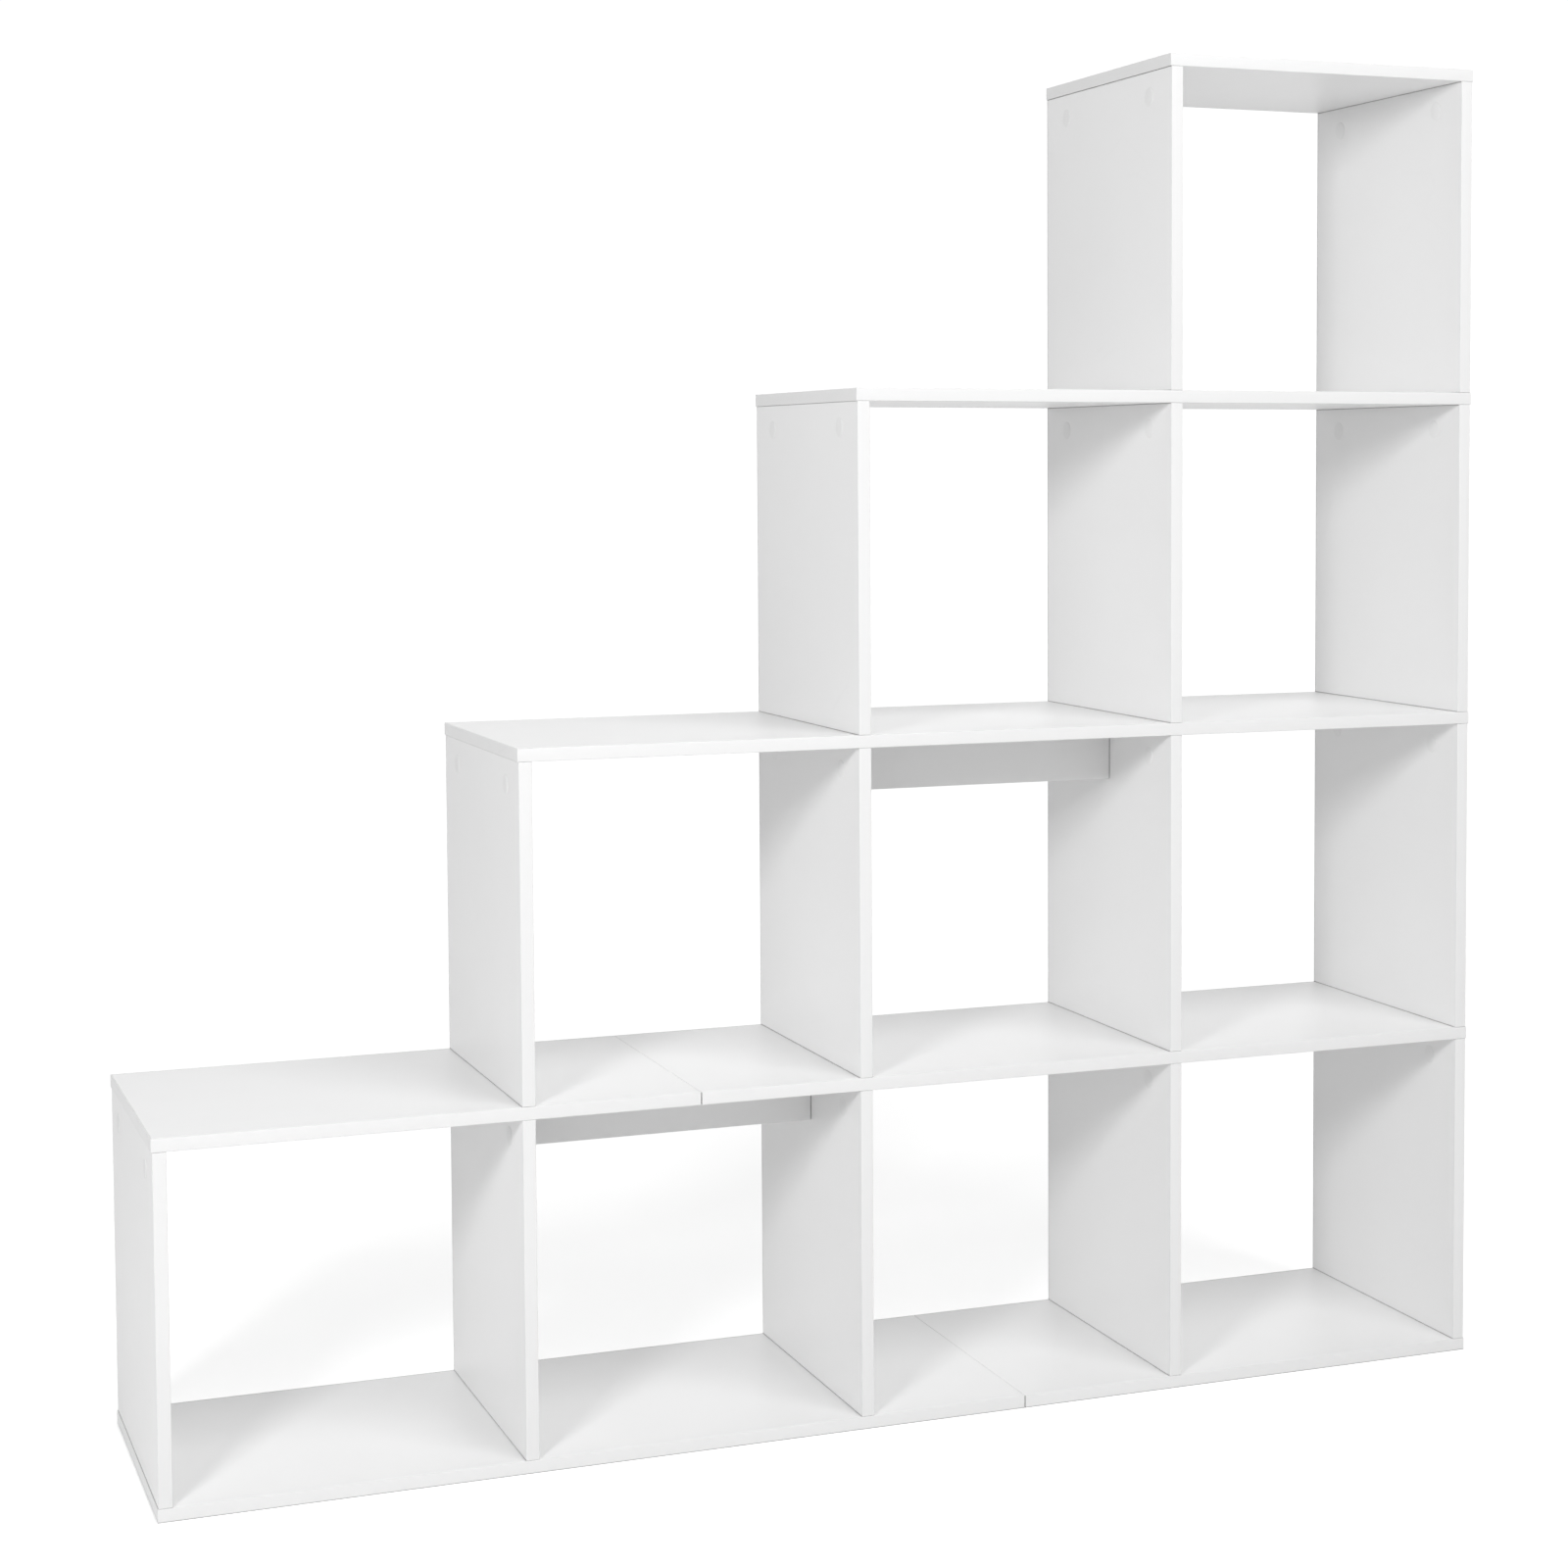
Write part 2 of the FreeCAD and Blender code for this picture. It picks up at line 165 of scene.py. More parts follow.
class ShelfStudio(bpy.types.PropertyGroup):
    """Camera and light."""

    camera_place: FloatVectorProperty(
        name="Camera place", description="Where the camera stands",
        default=(-0.9567, -2.7372, 0.9019), subtype="XYZ")
    camera_forward: FloatVectorProperty(
        name="View direction", description="The way that the camera looks",
        default=(0.3832, 0.9218, -0.0593), subtype="XYZ")
    camera_right: FloatVectorProperty(
        name="Picture right", description="The way that runs to the right in the picture",
        default=(0.9233, -0.384, -0.0022), subtype="XYZ")
    lens: FloatProperty(
        name="Lens", description="Focal length on a 36 mm wide sensor", default=68.81, unit="CAMERA")
    shift_across: FloatProperty(
        name="Shift across", description="Sideways shift of the lens", default=-0.1281)
    shift_up: FloatProperty(
        name="Shift up", description="Upward shift of the lens", default=-0.0906)
    key_place: FloatVectorProperty(
        name="Key light place", description="Where the lamp stands that casts the shadows in the cubes",
        default=(-1.85, -2.2, 1.62), subtype="XYZ")
    key_power: FloatProperty(
        name="Key power", description="Power of the key lamp", default=36.5, unit="POWER")
    key_size: FloatProperty(
        name="Key size", description="Side of the key lamp", default=0.5, unit="LENGTH")
    fill_place: FloatVectorProperty(
        name="Fill light place", description="Where the large soft lamp stands, high up in front",
        default=(0.8, -2.3, 3.15), subtype="XYZ")
    fill_power: FloatProperty(
        name="Fill power", description="Power of the fill lamp", default=44.5, unit="POWER")
    fill_size: FloatProperty(
        name="Fill size", description="Side of the fill lamp", default=1.6, unit="LENGTH")
    sky_strength: FloatProperty(
        name="Room light", description="Strength of the white room around the unit", default=0.63)
    floor_glow: FloatProperty(
        name="Floor glow", description="Light added to the floor for the camera, to keep it white",
        default=0.49)
    floor_size: FloatProperty(
        name="Floor size", description="Side of the pale floor", default=16.0, unit="LENGTH")


def solid_boxes(node):
    """Lowest and highest corners of every separate solid in a node, one row each.

    Corners at the same place are counted as one, and each takes the smallest number found among
    the corners that its triangles reach, until nothing changes.
    """
    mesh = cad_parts[node].data
    points = np.empty(len(mesh.vertices) * 3)
    mesh.vertices.foreach_get("co", points)
    points = points.reshape(-1, 3)
    corners = np.empty(len(mesh.loops), dtype=np.int64)
    mesh.loops.foreach_get("vertex_index", corners)
    places, same = np.unique(np.round(points / MICRON).astype(np.int64), axis=0, return_inverse=True)
    triangles = same.reshape(-1)[corners].reshape(-1, 3)
    label = np.arange(len(places))
    while True:
        lowest = label[triangles].min(axis=1)
        renewed = label.copy()
        np.minimum.at(renewed, triangles, lowest[:, None])
        if np.array_equal(renewed, label):
            break
        label = renewed
    spots = places * MICRON
    groups = [spots[label == value] for value in np.unique(label)]
    boxes = np.array([(group.min(axis=0), group.max(axis=0)) for group in groups])
    return boxes[:, 0], boxes[:, 1]


def tube_faces(rows, sides):
    """Quads between neighbouring rings, and fans that close both ends on a pole each."""
    ring = np.arange(sides)
    following = (ring + 1) % sides
    low = (np.arange(rows - 1) * sides)[:, None]
    quads = np.stack([low + ring, low + following, low + sides + following, low + sides + ring], axis=-1)
    last = (rows - 1) * sides
    first_pole, last_pole = rows * sides, rows * sides + 1
    foot = np.stack([np.full(sides, first_pole), following, ring], axis=-1)
    head = np.stack([np.full(sides, last_pole), last + ring, last + following], axis=-1)
    return quads.reshape(-1, 4), np.vstack([foot, head])


def turned(radius, height):
    """A turned form about Z: the point at ring i and angle a is (r cos a, r sin a, h).

    radius is rings by angles, and height one value for each ring, in order from the low end to the
    high one. A pole in the middle closes each end.
    """
    rows, sides = radius.shape
    angle = np.arange(sides) * 2 * math.pi / sides
    level = np.broadcast_to(height[:, None], radius.shape)
    skin = np.stack([radius * np.cos(angle), radius * np.sin(angle), level], axis=-1).reshape(-1, 3)
    poles = np.array([[0, 0, height[0]], [0, 0, height[-1]]])
    return np.vstack([skin, poles]), *tube_faces(rows, sides)


def laid_along_x(points):
    """Z turned to X, by a quarter turn about Y."""
    return np.stack([points[:, 2], points[:, 1], -points[:, 0]], axis=-1)


def repeated(points, faces, places):
    """The same form at each place, as one set of points and faces."""
    shifted = (places[:, None, :] + points[None, :, :]).reshape(-1, 3)
    starts = np.arange(len(places)) * len(points)
    return shifted, [np.vstack([part + start for start in starts]) for part in faces]


def make_piece(name, points, faces, material, slot, nodes, smooth_limit=35):
    """A mesh piece that rides with the unit and stands for the given nodes."""
    mesh = bpy.data.meshes.new(name)
    mesh.from_pydata(points.tolist(), [], [face for part in faces for face in part.tolist()])
    mesh.polygons.foreach_set("use_smooth", np.ones(len(mesh.polygons), dtype=bool))
    mesh.set_sharp_from_angle(angle=math.radians(smooth_limit))
    mesh.materials.append(material)
    mesh.update()
    piece = bpy.data.objects.new(name, mesh)
    bpy.context.scene.collection.objects.link(piece)
    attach(piece, BODY)
    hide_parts(*nodes)
    return piece


def outward(mesh):
    """Turns every face of a closed mesh to the outside."""
    work = bmesh.new()
    work.from_mesh(mesh)
    bmesh.ops.recalc_face_normals(work, faces=work.faces)
    work.to_mesh(mesh)
    work.free()


def new_group(name, inputs, outputs):
    """An empty shader node group with named sockets; returns the group and its two end nodes."""
    group = bpy.data.node_groups.new(name, "ShaderNodeTree")
    for socket, kind, value in inputs:
        made = group.interface.new_socket(socket, in_out="INPUT", socket_type="NodeSocket" + kind)
        if value is not None:
            made.default_value = value
    for socket, kind in outputs:
        group.interface.new_socket(socket, in_out="OUTPUT", socket_type="NodeSocket" + kind)
    return group, group.nodes.new("NodeGroupInput"), group.nodes.new("NodeGroupOutput")


def noise(tree, coordinate, scale, detail, roughness=0.5):
    """A noise texture; scale is a number or a socket, in patches per metre."""
    node = tree.nodes.new("ShaderNodeTexNoise")
    node.inputs["Detail"].default_value = detail
    node.inputs["Roughness"].default_value = roughness
    if isinstance(scale, (int, float)):
        node.inputs["Scale"].default_value = scale
    else:
        tree.links.new(scale, node.inputs["Scale"])
    tree.links.new(coordinate, node.inputs["Vector"])
    return node.outputs["Fac"]


def spread(tree, value, from_range, to_range):
    """A value carried from one range to another, held at its ends."""
    node = tree.nodes.new("ShaderNodeMapRange")
    for socket, number in zip(("From Min", "From Max", "To Min", "To Max"), (*from_range, *to_range)):
        node.inputs[socket].default_value = number
    tree.links.new(value, node.inputs["Value"])
    return node.outputs["Result"]


def combine(tree, operation, first, second):
    """A maths node on two sockets or numbers."""
    node = tree.nodes.new("ShaderNodeMath")
    node.operation = operation
    for socket, value in zip(node.inputs, (first, second)):
        if isinstance(value, (int, float)):
            socket.default_value = value
        else:
            tree.links.new(value, socket)
    return node.outputs["Value"]


def shaded(tree, colour, factor):
    """A colour multiplied by a factor."""
    node = tree.nodes.new("ShaderNodeVectorMath")
    node.operation = "SCALE"
    if hasattr(colour, "links"):
        tree.links.new(colour, node.inputs[0])
    else:
        node.inputs[0].default_value = colour[:3]
    tree.links.new(factor, node.inputs["Scale"])
    return node.outputs["Vector"]


def pressed_skin_group():
    """Melamine skin: a fine pebble from the press plate, broad tone changes and a patchy sheen."""
    group, start, end = new_group(
        "pressed_skin",
        [("Coordinate", "Vector", None), ("Colour", "Color", (0.8, 0.8, 0.8, 1)),
         ("Pebbles", "Float", 900.0), ("Tone Change", "Float", 0.03),
         ("Dullest", "Float", 0.5), ("Glossiest", "Float", 0.36)],
        [("Colour", "Color"), ("Roughness", "Float"), ("Height", "Float")])
    place = start.outputs["Coordinate"]
    broad = noise(group, place, scale=5.0, detail=3)
    patches = noise(group, place, scale=40.0, detail=4, roughness=0.6)
    pebble = noise(group, place, start.outputs["Pebbles"], detail=2)
    drop = combine(group, "MULTIPLY", broad, start.outputs["Tone Change"])
    tone = combine(group, "SUBTRACT", 1.0, drop)
    group.links.new(shaded(group, start.outputs["Colour"], tone), end.inputs["Colour"])
    sheen_range = combine(group, "SUBTRACT", start.outputs["Dullest"], start.outputs["Glossiest"])
    duller = combine(group, "MULTIPLY", sheen_range, patches)
    group.links.new(combine(group, "ADD", start.outputs["Glossiest"], duller), end.inputs["Roughness"])
    group.links.new(pebble, end.inputs["Height"])
    return group


def handling_group():
    """Handling: faint scuffs, short and long, in a thin net that only shows in places."""
    group, start, end = new_group(
        "handling",
        [("Coordinate", "Vector", None), ("Amount", "Float", 0.3)],
        [("Mask", "Float")])
    stretch = group.nodes.new("ShaderNodeMapping")
    stretch.inputs["Scale"].default_value = (30.0, 7.0, 18.0)
    stretch.inputs["Rotation"].default_value = (0.3, 0.2, 0.5)
    group.links.new(start.outputs["Coordinate"], stretch.inputs["Vector"])
    cracks = group.nodes.new("ShaderNodeTexVoronoi")
    cracks.feature = "DISTANCE_TO_EDGE"
    cracks.inputs["Scale"].default_value = 1.0
    group.links.new(stretch.outputs["Vector"], cracks.inputs["Vector"])
    line_width = 0.012
    line = spread(group, cracks.outputs["Distance"], (0.0, line_width), (1.0, 0.0))
    patches = noise(group, start.outputs["Coordinate"], scale=9.0, detail=3)
    where = spread(group, patches, (0.55, 0.72), (0.0, 1.0))
    both = combine(group, "MULTIPLY", line, where)
    group.links.new(combine(group, "MULTIPLY", both, start.outputs["Amount"]), end.inputs["Mask"])
    return group


def joint_lines_group():
    """Painted corner shade: full light on open faces, dropping to its lowest value in corners and open
    joints.
    """
    group, start, end = new_group(
        "joint_lines",
        [("Reach", "Float", 0.0025), ("Darkest", "Float", 0.4)],
        [("Light", "Float")])
    # Ambient occlusion darkens the colour where corners and joints would fall in shade: painted shade.
    corner = group.nodes.new("ShaderNodeAmbientOcclusion")
    corner.samples = 6
    group.links.new(start.outputs["Reach"], corner.inputs["Distance"])
    closed, fully_open = 0.15, 0.7
    open_share = spread(group, corner.outputs["AO"], (closed, fully_open), (0.0, 1.0))
    lift = combine(group, "MULTIPLY", combine(group, "SUBTRACT", 1.0, start.outputs["Darkest"]), open_share)
    group.links.new(combine(group, "ADD", start.outputs["Darkest"], lift), end.inputs["Light"])
    return group


def placed_group(tree, group, coordinate=None, **values):
    """Places a node group in a material, fed with the coordinate if it takes one, with its own values."""
    node = tree.nodes.new("ShaderNodeGroup")
    node.node_tree = group
    if coordinate:
        tree.links.new(coordinate, node.inputs["Coordinate"])
    for socket, value in values.items():
        node.inputs[socket.replace("_", " ")].default_value = value
    return node


def new_material(name, offset=(0.0, 0.0, 0.0)):
    """A material with a Principled shader and Object coordinates moved by an offset."""
    material = bpy.data.materials.new(name)
    material.use_nodes = True
    tree = material.node_tree
    shader = tree.nodes["Principled BSDF"]
    source = tree.nodes.new("ShaderNodeTexCoord")
    mapping = tree.nodes.new("ShaderNodeMapping")
    mapping.inputs["Location"].default_value = offset
    tree.links.new(source.outputs["Object"], mapping.inputs["Vector"])
    return material, tree, shader, mapping.outputs["Vector"]


def bump(tree, shader, height, strength, distance):
    """A bump on the shader from a height."""
    node = tree.nodes.new("ShaderNodeBump")
    node.inputs["Strength"].default_value = strength
    node.inputs["Distance"].default_value = distance
    tree.links.new(height, node.inputs["Height"])
    tree.links.new(node.outputs["Normal"], shader.inputs["Normal"])


def melamine(name, colour, offset, pebbles, dullest, glossiest, scuffs, painted_shade_darkest):
    """White pressed melamine: pebbled, with patchy sheen, a few scuffs, and painted shade darkening its
    colour in corners and joints.
    """
    material, tree, shader, place = new_material(name, offset)
    skin = placed_group(tree, GROUPS["pressed_skin"], place, Colour=(*colour, 1.0), Pebbles=pebbles,
                        Dullest=dullest, Glossiest=glossiest)
    marks = placed_group(tree, GROUPS["handling"], place, Amount=scuffs)
    lines = placed_group(tree, GROUPS["joint_lines"], Darkest=painted_shade_darkest)
    kept_after_scuffs_and_shade = combine(tree, "SUBTRACT", 1.0, marks.outputs["Mask"])
    # The colour is darkened by the scuffs and also by painted shade in corners and joints.
    kept_after_scuffs_and_shade = combine(tree, "MULTIPLY", kept_after_scuffs_and_shade, lines.outputs["Light"])
    tree.links.new(shaded(tree, skin.outputs["Colour"], kept_after_scuffs_and_shade), shader.inputs["Base Color"])
    dulled = combine(tree, "ADD", skin.outputs["Roughness"], marks.outputs["Mask"])
    tree.links.new(dulled, shader.inputs["Roughness"])
    shader.inputs["Specular IOR Level"].default_value = 0.45
    bump(tree, shader, skin.outputs["Height"], strength=0.12, distance=0.0003)
    return material


def cast_metal(name, colour, roughness, grain):
    """Plated or cast metal: dull patches over a fine grain."""
    material, tree, shader, place = new_material(name)
    patches = noise(tree, place, scale=260.0, detail=4, roughness=0.65)
    fine = noise(tree, place, grain, detail=3)
    usual = (0.3, 0.7)
    tone = spread(tree, patches, usual, (0.82, 1.05))
    tree.links.new(shaded(tree, colour, tone), shader.inputs["Base Color"])
    dullest = roughness + 0.18
    tree.links.new(spread(tree, patches, usual, (roughness, dullest)), shader.inputs["Roughness"])
    shader.inputs["Metallic"].default_value = 1.0
    bump(tree, shader, fine, strength=0.25, distance=0.0002)
    return material


def turned_wood(name, colour):
    """Beech: long pale fibres with small dark flecks."""
    material, tree, shader, place = new_material(name)
    stretch = tree.nodes.new("ShaderNodeMapping")
    stretch.inputs["Scale"].default_value = (1.0, 1.0, 0.12)
    tree.links.new(place, stretch.inputs["Vector"])
    fibre = noise(tree, stretch.outputs["Vector"], scale=900.0, detail=4, roughness=0.6)
    fleck = noise(tree, place, scale=500.0, detail=2)
    usual = (0.3, 0.7)
    grain = spread(tree, fibre, usual, (0.72, 1.08))
    dots = spread(tree, fleck, (0.62, 0.7), (1.0, 0.7))
    tree.links.new(shaded(tree, colour, combine(tree, "MULTIPLY", grain, dots)), shader.inputs["Base Color"])
    tree.links.new(spread(tree, fibre, usual, (0.55, 0.8)), shader.inputs["Roughness"])
    bump(tree, shader, fibre, strength=0.4, distance=0.0002)
    return material


def dress(names, material, arris):
    """Gives packed panels their finish and eases their cut edges, with their shape kept."""
    for name in names:
        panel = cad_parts[name]
        panel.data.materials.clear()
        panel.data.materials.append(material)
        weld = panel.modifiers.new("joined_corners", "WELD")
        weld.merge_threshold = MICRON
        ease = panel.modifiers.new("eased_edges", "BEVEL")
        ease.width = arris
        ease.segments = 2
        ease.limit_method = "ANGLE"
        sharp_degrees = 30
        ease.angle_limit = math.radians(sharp_degrees)
        ease.use_clamp_overlap = False


def rounded_strip(low, high, arris):
    """One edge band between two corners: a flat strip with rounded outer corners and ends.

    The section is a half-open rectangle whose outer corners are quarter circles. It is carried
    straight along the strip's longest side and faces away from the middle of the unit along its
    shortest side. Towards both ends its depth is held under a quarter circle.
    """
    size = high - low
    along, across, out = np.argsort(-size)
    sign = 1.0 if low[out] + high[out] > 0 else -1.0
    inner = low[out] if sign > 0 else high[out]
    half, depth = size[across] / 2, size[out]
    corner_points = 6
    turn = np.linspace(0, math.pi / 2, corner_points)
    right = np.stack([half - arris + arris * np.cos(turn), depth - arris + arris * np.sin(turn)], axis=-1)
    left = right[::-1] * (-1.0, 1.0)
    section = np.vstack([[(half, 0.0)], right, left, [(-half, 0.0)]])
    inset = arris * (1 - np.cos(turn))
    ceiling = depth - arris * (1 - np.sin(turn))
    stations = np.concatenate([low[along] + inset, high[along] - inset[::-1]])
    ceilings = np.concatenate([ceiling, ceiling[::-1]])
    rows, count = len(stations), len(section)
    points = np.empty((rows, count, 3))
    points[..., along] = stations[:, None]
    points[..., across] = (low[across] + high[across]) / 2 + section[:, 0]
    points[..., out] = inner + sign * np.minimum(section[:, 1], ceilings[:, None])
    ring = np.arange(count)
    following = (ring + 1) % count
    start = (np.arange(rows - 1) * count)[:, None]
    onward = start + count
    sides = np.stack([start + ring, start + following, onward + following, onward + ring], axis=-1)
    ends = np.stack([ring[::-1], (rows - 1) * count + ring])
    return points.reshape(-1, 3), sides.reshape(-1, 4), ends


def parted_at_seams(low, high, gap):
    """A band's corners, as two pairs with a gap between them where the band crosses a butt joint."""
    for name in BOARDS:
        board_low, board_high = (np.array(corner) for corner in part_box(name))
        seam = board_high[0]
        same_level = abs(board_low[2] - low[2]) < gap
        if name.endswith("_left") and same_level and low[0] < seam - gap and high[0] > seam + gap:
            left_end, right_start = high.copy(), low.copy()
            left_end[0], right_start[0] = seam - gap / 2, seam + gap / 2
            return [(low, left_end), (right_start, high)]
    return [(low, high)]


def band_piece(node, sizes, material):
    """All the strips of one band node as one piece."""
    points, sides, ends, start = [], [], [], 0
    for low, high in zip(*solid_boxes(node)):
        for corners in parted_at_seams(low, high, sizes.seam_gap):
            strip, strip_sides, strip_ends = rounded_strip(*corners, sizes.band_arris)
            points.append(strip)
            sides.append(strip_sides + start)
            ends.append(strip_ends + start)
            start += len(strip)
    piece = make_piece("rounded_" + node, np.vstack(points), [np.vstack(sides), np.vstack(ends)],
                       material, "edge_band", [node])
    outward(piece.data)


def thread_profile(height, angle, start, end, radius, pitch, depth):
    """Radius of a thread: a sharp ridge that climbs one pitch in each turn and fades at both ends."""
    phase = (height[:, None] / pitch - angle[None, :] / (2 * math.pi)) % 1.0
    ridge = np.abs(2 * phase - 1) ** 2
    fade = np.clip(np.minimum(height - start, end - height) / pitch, 0, 1)[:, None]
    return radius - depth * (1 - ridge * fade)


def bolt_form(length, sizes, sides=20):
    """A cam bolt that points up: a round-edged head at 0, a neck, then a thread to the tip."""
    neck_start = sizes.bolt_head_height
    thread_start = sizes.bolt_head_height / 2 + sizes.cam_drop
    edge = sizes.bolt_head_height / 5
    angle = np.arange(sides) * 2 * math.pi / sides
    thread = np.arange(thread_start, length - edge, sizes.thread_pitch / THREAD_STEPS)
    height = np.concatenate([[0, edge, neck_start - edge, neck_start, neck_start, thread_start, thread_start],
                             thread[1:], [length - edge, length]])
    head = sizes.bolt_radius
    plain = np.array([head - edge, head, head, head - edge, sizes.bolt_neck_radius, sizes.bolt_neck_radius,
                      head - sizes.thread_depth])
    radius = np.empty((len(height), sides))
    radius[:len(plain)] = plain[:, None]
    rest = height[len(plain):]
    radius[len(plain):] = thread_profile(rest, angle, thread_start, length, head, sizes.thread_pitch,
                                         sizes.thread_depth)
    radius[-1] -= edge
    return turned(radius, height)


def screw_form(length, sizes, sides=24):
    """A countersunk screw that points up: a cone head with a sunk drive, then a thread to a blunt tip."""
    angle = np.arange(sides) * 2 * math.pi / sides
    start = sizes.screw_head_height
    drive_radius_share, drive_depth_share, drive_floor_share = 0.45, 0.6, 0.5
    flat_share, tip_share = 0.08, 0.5
    drive_radius = sizes.screw_head_radius * drive_radius_share
    drive_depth = sizes.screw_head_height * drive_depth_share
    thread = np.arange(start, length - sizes.thread_pitch, sizes.thread_pitch / THREAD_STEPS)
    inner = np.array([drive_depth, drive_depth, 0.0, 0.0])
    height = np.concatenate([inner, thread, [length]])
    flats = 6
    six_flats = 1 - flat_share * np.cos(flats * angle)
    radius = np.empty((len(height), sides))
    radius[0] = drive_radius * drive_floor_share
    radius[1] = drive_radius * six_flats
    radius[2] = drive_radius * six_flats
    radius[3] = sizes.screw_head_radius
    radius[4:-1] = thread_profile(thread, angle, start, length, sizes.screw_radius, sizes.thread_pitch,
                                  sizes.thread_depth)
    radius[4] = sizes.screw_radius
    radius[-1] = sizes.screw_radius * tip_share
    return turned(radius, height)


def dowel_form(length, sizes):
    """A fluted dowel that starts at 0: its radius dips at each flute, and both ends are tapered."""
    points_per_flute, groove_share, taper_share, end_share = 4, 0.05, 0.3, 0.8
    sides = sizes.dowel_flutes * points_per_flute
    angle = np.arange(sides) * 2 * math.pi / sides
    groove = sizes.dowel_radius * groove_share
    taper = sizes.dowel_radius * taper_share
    flutes = sizes.dowel_radius - groove * (1 + np.cos(sizes.dowel_flutes * angle)) / 2
    height = np.array([0, taper, length / 2, length - taper, length])
    shrink = np.array([end_share, 1, 1, 1, end_share])
    return turned(shrink[:, None] * flutes[None, :], height)


def cover_form(thickness, radius, sides=48):
    """A thin disc from 0 down to minus its thickness, with a softly rounded rim."""
    rim_share = 0.8
    rim = thickness * rim_share
    turn = np.linspace(0, math.pi / 2, 4)
    outline = np.concatenate([radius - rim + rim * np.cos(turn[::-1]), [radius]])
    level = np.concatenate([-thickness + rim - rim * np.sin(turn[::-1]), [0.0]])
    return turned(np.repeat(outline[:, None], sides, axis=1), level)


def cam_form(length, sizes, sides=48):
    """A cam that starts at 0: a sunk cross in its face, and a groove in its side for the bolt's neck.

    The turned form has rings over its face and then down its side. Face rings are pressed in
    where the angle is near one of the cross's four arms, and the side rings that face the bolt
    are drawn in to the groove's floor.
    """
    groove_place_share, groove_play_share, groove_floor_share = 0.6, 0.01, 0.62
    cross_depth_share, dished_share, arm_width = 0.16, 0.15, 0.42
    face_ring_shares = np.array([0.12, 0.45, 0.72, 0.80, 0.97])
    cross_rings, edge_share, wall_share = 3, 0.03, 0.99
    angle = np.arange(sides) * 2 * math.pi / sides
    middle, half_groove = length * groove_place_share, sizes.bolt_neck_radius + length * groove_play_share
    arm = np.abs(np.sin(2 * angle)) < arm_width
    sunk = length * cross_depth_share
    face_level = np.zeros((len(face_ring_shares), sides))
    face_level[:cross_rings] = np.where(arm, sunk, sunk * dished_share)
    face_radius = np.repeat((face_ring_shares * sizes.cam_radius)[:, None], sides, axis=1)
    side_level = np.array([length * edge_share, middle - half_groove, middle - half_groove * wall_share,
                           middle + half_groove * wall_share, middle + half_groove, length * (1 - edge_share),
                           length])
    side_radius = np.full((len(side_level), sides), sizes.cam_radius)
    past_half_turn = 0.4
    open_side = (angle > math.pi / 2) & (angle < math.pi + past_half_turn)
    side_radius[2:4] = np.where(open_side, sizes.cam_radius * groove_floor_share, sizes.cam_radius)
    side_radius[-1] *= 1 - edge_share
    radius = np.vstack([face_radius, side_radius])
    level = np.vstack([face_level, np.repeat(side_level[:, None], sides, axis=1)])
    points, quads, fans = turned(radius, np.zeros(len(radius)))
    points[:len(radius) * sides, 2] = level.reshape(-1)
    points[-2, 2] = sunk
    points[-1, 2] = length
    return points, quads, fans


def boxes_along(node, axis):
    """Middle of the low end, and length, of every solid of a node along an axis."""
    low, high = solid_boxes(node)
    ends = (low + high) / 2
    ends[:, axis] = low[:, axis]
    return ends, high[:, axis] - low[:, axis]


class DressBoards(bpy.types.Operator):
    """Boards: white melamine with eased cut edges."""
    bl_idname = "bookshelf.dress_boards"
    bl_label = "Boards"

    def execute(self, context):
        colour = context.scene.shelf_finish.panel_colour
        finish = melamine("board_melamine", colour, offset=(0.0, 0.0, 0.0), pebbles=1100.0,
                          dullest=0.46, glossiest=0.34, scuffs=0.015, painted_shade_darkest=0.3)
        dress(BOARDS, finish, context.scene.shelf_sizes.panel_arris)
        return {"FINISHED"}


class DressUprights(bpy.types.Operator):
    """Uprights: white melamine with eased cut edges."""
    bl_idname = "bookshelf.dress_uprights"
    bl_label = "Uprights"

    def execute(self, context):
        colour = context.scene.shelf_finish.panel_colour
        finish = melamine("upright_melamine", colour, offset=(3.1, 1.7, 0.4), pebbles=1100.0,
                          dullest=0.48, glossiest=0.36, scuffs=0.015, painted_shade_darkest=0.35)
        dress(UPRIGHTS, finish, context.scene.shelf_sizes.panel_arris)
        return {"FINISHED"}


class DressRails(bpy.types.Operator):
    """Rails under the boards: white melamine with eased cut edges, its colour set darker as painted shade."""
    bl_idname = "bookshelf.dress_rails"
    bl_label = "Rails"

    def execute(self, context):
        colour = context.scene.shelf_finish.rail_colour_with_painted_shade
        finish = melamine("rail_melamine", colour, offset=(5.3, 2.9, 1.1), pebbles=1100.0,
                          dullest=0.5, glossiest=0.38, scuffs=0.015, painted_shade_darkest=0.05)
        dress(RAILS, finish, context.scene.shelf_sizes.panel_arris)
        return {"FINISHED"}


class MakeBands(bpy.types.Operator):
    """Edge bands: strips with rounded outer corners on every visible panel edge."""
    bl_idname = "bookshelf.make_bands"
    bl_label = "Edge bands"

    def execute(self, context):
        colour = context.scene.shelf_finish.band_colour_with_painted_shade
        finish = melamine("edge_band", colour, offset=(1.9, 4.7, 2.3), pebbles=1600.0,
                          dullest=0.42, glossiest=0.28, scuffs=0.015, painted_shade_darkest=0.15)
        for node in BANDS:
            band_piece(node, context.scene.shelf_sizes, finish)
        return {"FINISHED"}


